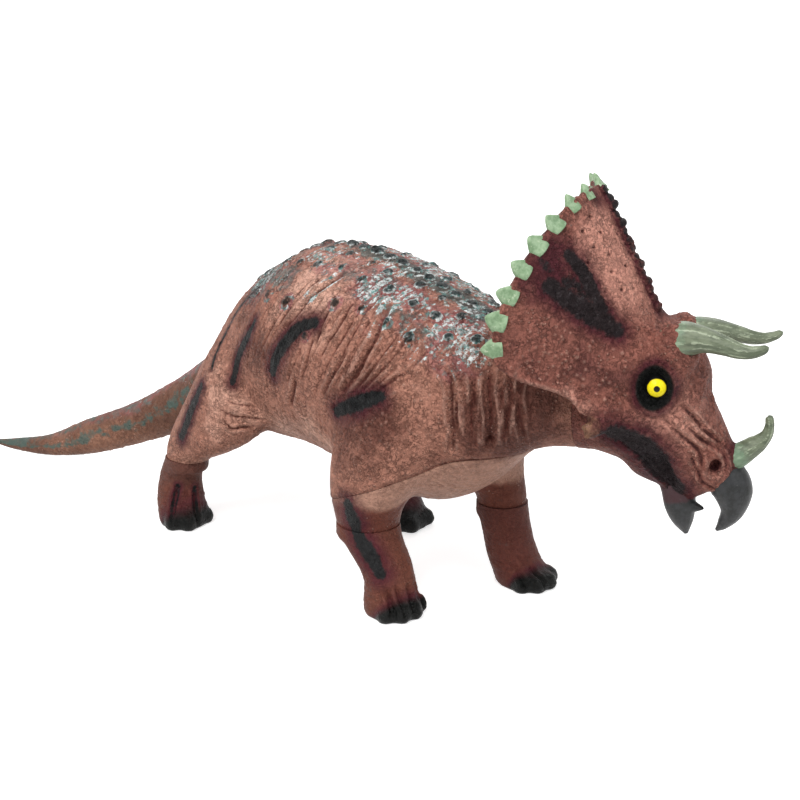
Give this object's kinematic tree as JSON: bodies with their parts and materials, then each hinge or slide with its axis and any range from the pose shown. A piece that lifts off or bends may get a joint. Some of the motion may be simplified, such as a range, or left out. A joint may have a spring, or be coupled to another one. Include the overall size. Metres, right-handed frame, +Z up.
{
  "type": "toy dinosaur figure",
  "caption": "Soft vinyl horned dinosaur toy figure in a walking pose, with a swivelling head, tail and legs, a frill, horns and a beak.",
  "frame": {"origin": "on the ground, at the middle of the box around the whole figure", "axes": "+X towards the head, +Y towards the figure's own left side, +Z up"},
  "size_m": [0.5162, 0.1896, 0.2385],
  "materials": {
    "body_skin": "soft cast vinyl, terracotta base with airbrushed dark strokes and drybrushed teal over the back",
    "chest_skin": "soft cast vinyl, plain warm tan",
    "tail_skin": "soft cast vinyl, red-brown mottled with teal-green above",
    "head_skin": "soft cast vinyl, red-brown with dark green and maroon airbrush, mint scallops on the frill",
    "leg_skin": "soft cast vinyl, brown with dark green-black toes",
    "horn": "sage-green vinyl, slightly satin",
    "beak": "charcoal vinyl, slightly satin",
    "eye": "yellow with a black pupil and rim, clear-coated"
  },
  "bodies": {
    "torso": {"body_casting": "body_skin", "chest_casting": "chest_skin"},
    "head": {"head_casting": "head_skin", "right_brow_horn": "horn", "left_brow_horn": "horn", "nose_horn": "horn", "upper_beak": "beak", "lower_beak": "beak", "right_eye": "eye", "left_eye": "eye"},
    "tail_body": {"tail": "tail_skin"},
    "right_fore": {"right_fore_leg": "leg_skin"},
    "left_fore": {"left_fore_leg": "leg_skin"},
    "right_hind": {"right_hind_leg": "leg_skin"},
    "left_hind": {"left_hind_leg": "leg_skin"}
  },
  "joints": [
    {"name": "neck_swivel", "type": "hinge", "parent": "torso", "child": "head", "pos_m": [0.16088, 0.01984, 0.12294], "axis": [0.8477, 0.5305, 0], "range_deg": [-12, 12]},
    {"name": "tail_swivel", "type": "hinge", "parent": "torso", "child": "tail_body", "pos_m": [-0.11128, -0.0152, 0.06894], "axis": [0.8003, 0.3169, 0.509], "range_deg": [-15, 12]},
    {"name": "right_fore_swivel", "type": "hinge", "parent": "torso", "child": "right_fore", "pos_m": [0.07436, -0.0542, 0.044], "axis": [0, 0, 1], "range_deg": [-20, 20]},
    {"name": "left_fore_swivel", "type": "hinge", "parent": "torso", "child": "left_fore", "pos_m": [0.0962, 0.02476, 0.044], "axis": [0, 0, 1], "range_deg": [-20, 20]},
    {"name": "right_hind_swivel", "type": "hinge", "parent": "torso", "child": "right_hind", "pos_m": [-0.07936, -0.06668, 0.042], "axis": [0, 0, 1], "range_deg": [-20, 20]},
    {"name": "left_hind_swivel", "type": "hinge", "parent": "torso", "child": "left_hind", "pos_m": [-0.01524, 0.03484, 0.042], "axis": [0, 0, 1], "range_deg": [-20, 20]}
  ]
}
